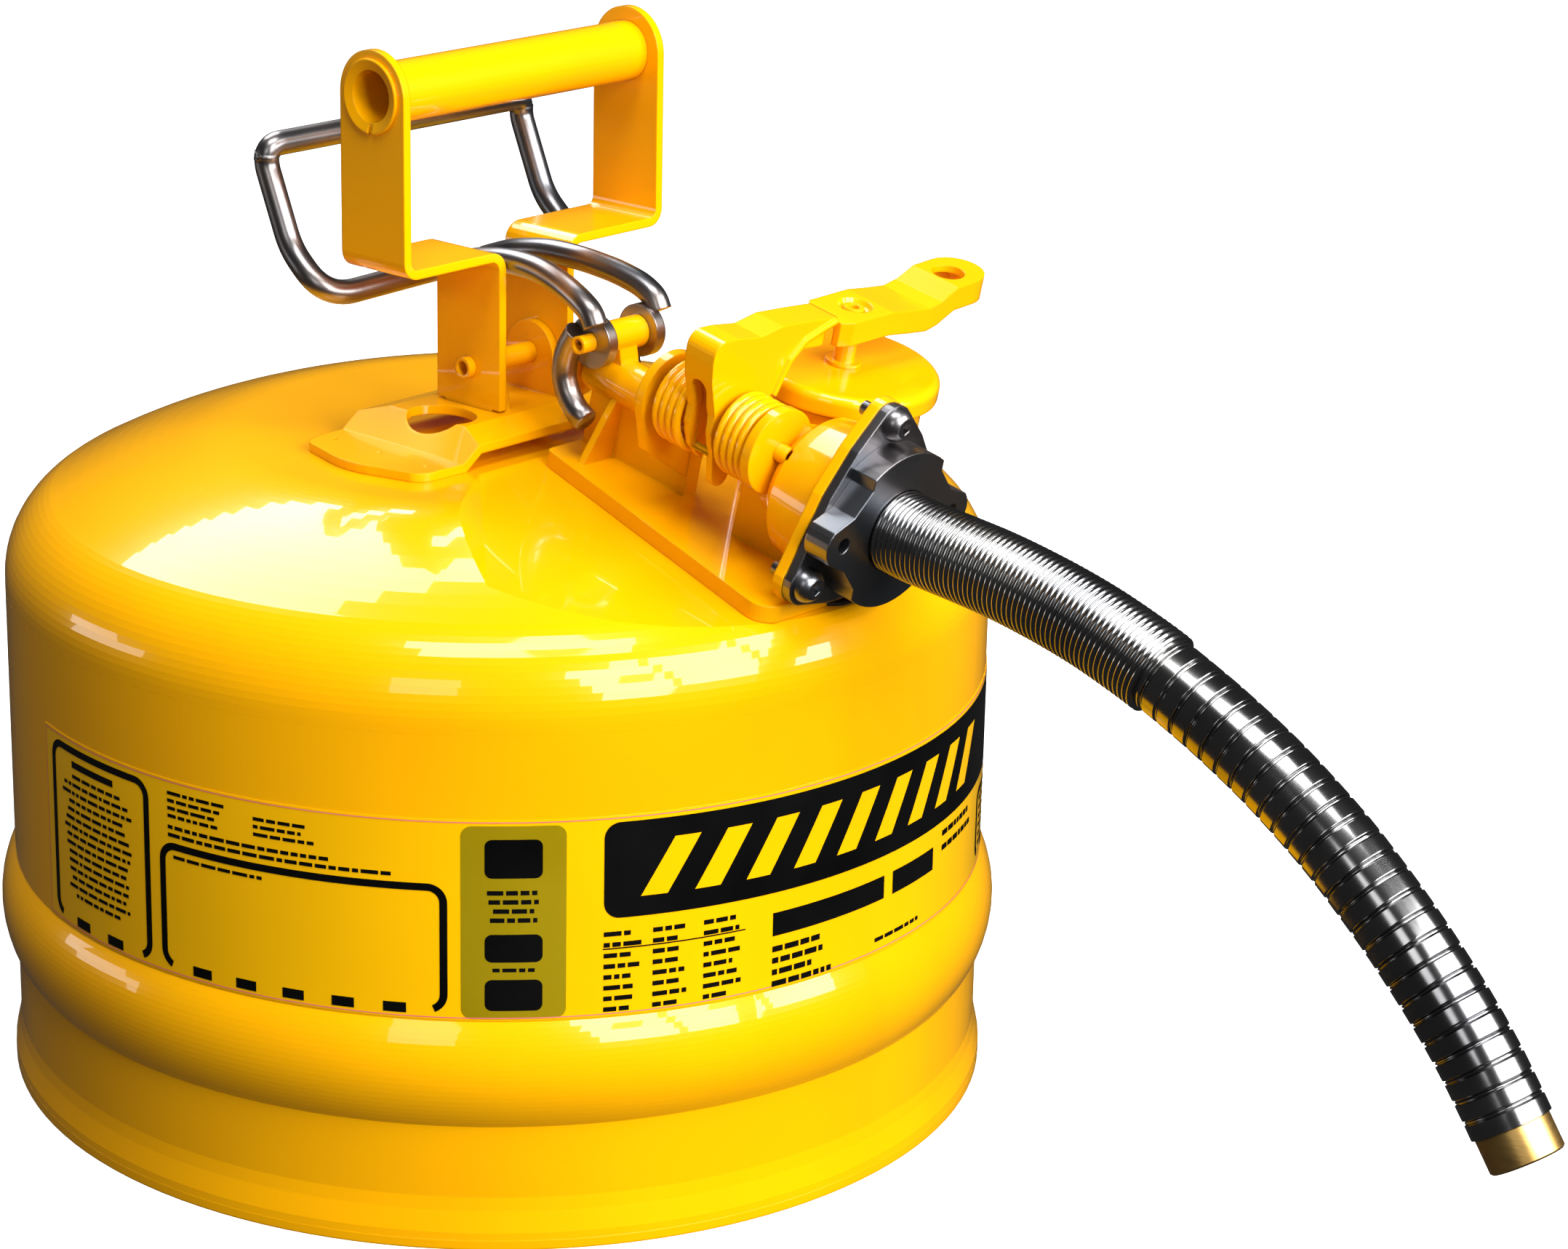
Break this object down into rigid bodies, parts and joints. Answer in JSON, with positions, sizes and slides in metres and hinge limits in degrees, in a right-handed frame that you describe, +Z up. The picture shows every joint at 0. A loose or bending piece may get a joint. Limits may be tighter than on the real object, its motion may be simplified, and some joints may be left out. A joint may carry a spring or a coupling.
{
  "type": "safety gas can",
  "caption": "Round steel safety can with a fixed carry handle, a squeeze trigger that opens the pour valve, a flexible metal hose and a spring-closed fill cap on a hinged lever.",
  "frame": {"origin": "centre of the base rim at the surface it stands on", "axes": "+Z up, +X towards the hose, +Y towards the fill cap"},
  "size_m": [0.51, 0.298, 0.3089],
  "materials": {
    "yellow_coat": "gloss powder coat",
    "steel": "satin",
    "rubber": "matte",
    "dark_chrome": "polished dark",
    "label": "printed film",
    "hose": "polished corrugated metal",
    "brass": "satin"
  },
  "bodies": {
    "can": {"body_shell": "yellow_coat", "dome_top": "yellow_coat", "base_rim": "yellow_coat", "bottom_pan": "steel", "label": "label", "saddle_bracket": "yellow_coat", "handle_pin": "yellow_coat", "handle_strap_left": "yellow_coat", "handle_strap_right": "yellow_coat", "grip_tube": "yellow_coat", "manifold": "yellow_coat", "fill_neck": "yellow_coat", "manifold_gasket": "rubber", "fill_arrester": "steel", "pour_arrester": "steel", "valve_spring": "steel", "trigger_pin": "yellow_coat", "lever_pin": "yellow_coat", "lever_spring_rear": "yellow_coat", "lever_spring_front": "yellow_coat", "hose_flange": "dark_chrome", "flange_screw_top": "dark_chrome", "flange_screw_left": "dark_chrome", "flange_screw_right": "dark_chrome", "hose_collar": "dark_chrome", "hose_nipple": "steel", "hose_tube": "hose", "hose_tip": "brass"},
    "trigger": {"trigger_wire": "dark_chrome", "trigger_hub_left": "dark_chrome", "trigger_hub_right": "dark_chrome"},
    "plunger": {"valve_stem": "steel", "plunger_disc": "yellow_coat", "valve_disc": "steel", "valve_seal": "rubber"},
    "fill_lever": {"lever_hood": "yellow_coat", "lever_arm": "yellow_coat", "fill_cap": "yellow_coat", "cap_gasket": "rubber", "cap_post": "yellow_coat"}
  },
  "joints": [
    {"name": "trigger_hinge", "type": "hinge", "parent": "can", "child": "trigger", "pos_m": [0.04883, 0, 0.22726], "axis": [0, 1, 0], "range_deg": [0, 18], "stiffness_Nm_per_rad": 0.5, "springref_deg": -34.38},
    {"name": "plunger_slide", "type": "slide", "parent": "can", "child": "plunger", "axis": [-0.9781, 0, 0.2079], "range_m": [0, 0.0036], "deforming": ["valve_spring"]},
    {"name": "lever_hinge", "type": "hinge", "parent": "can", "child": "fill_lever", "pos_m": [0.10012, -0.014, 0.21605], "axis": [0.9781, 0, -0.2079], "range_deg": [0, 38], "stiffness_Nm_per_rad": 0.6, "springref_deg": -40.11, "deforming": ["lever_spring_rear", "lever_spring_front"]}
  ],
  "couplings": [
    {"joint": "plunger_slide", "follows": "trigger_hinge", "m_per_rad": 0.0108}
  ]
}
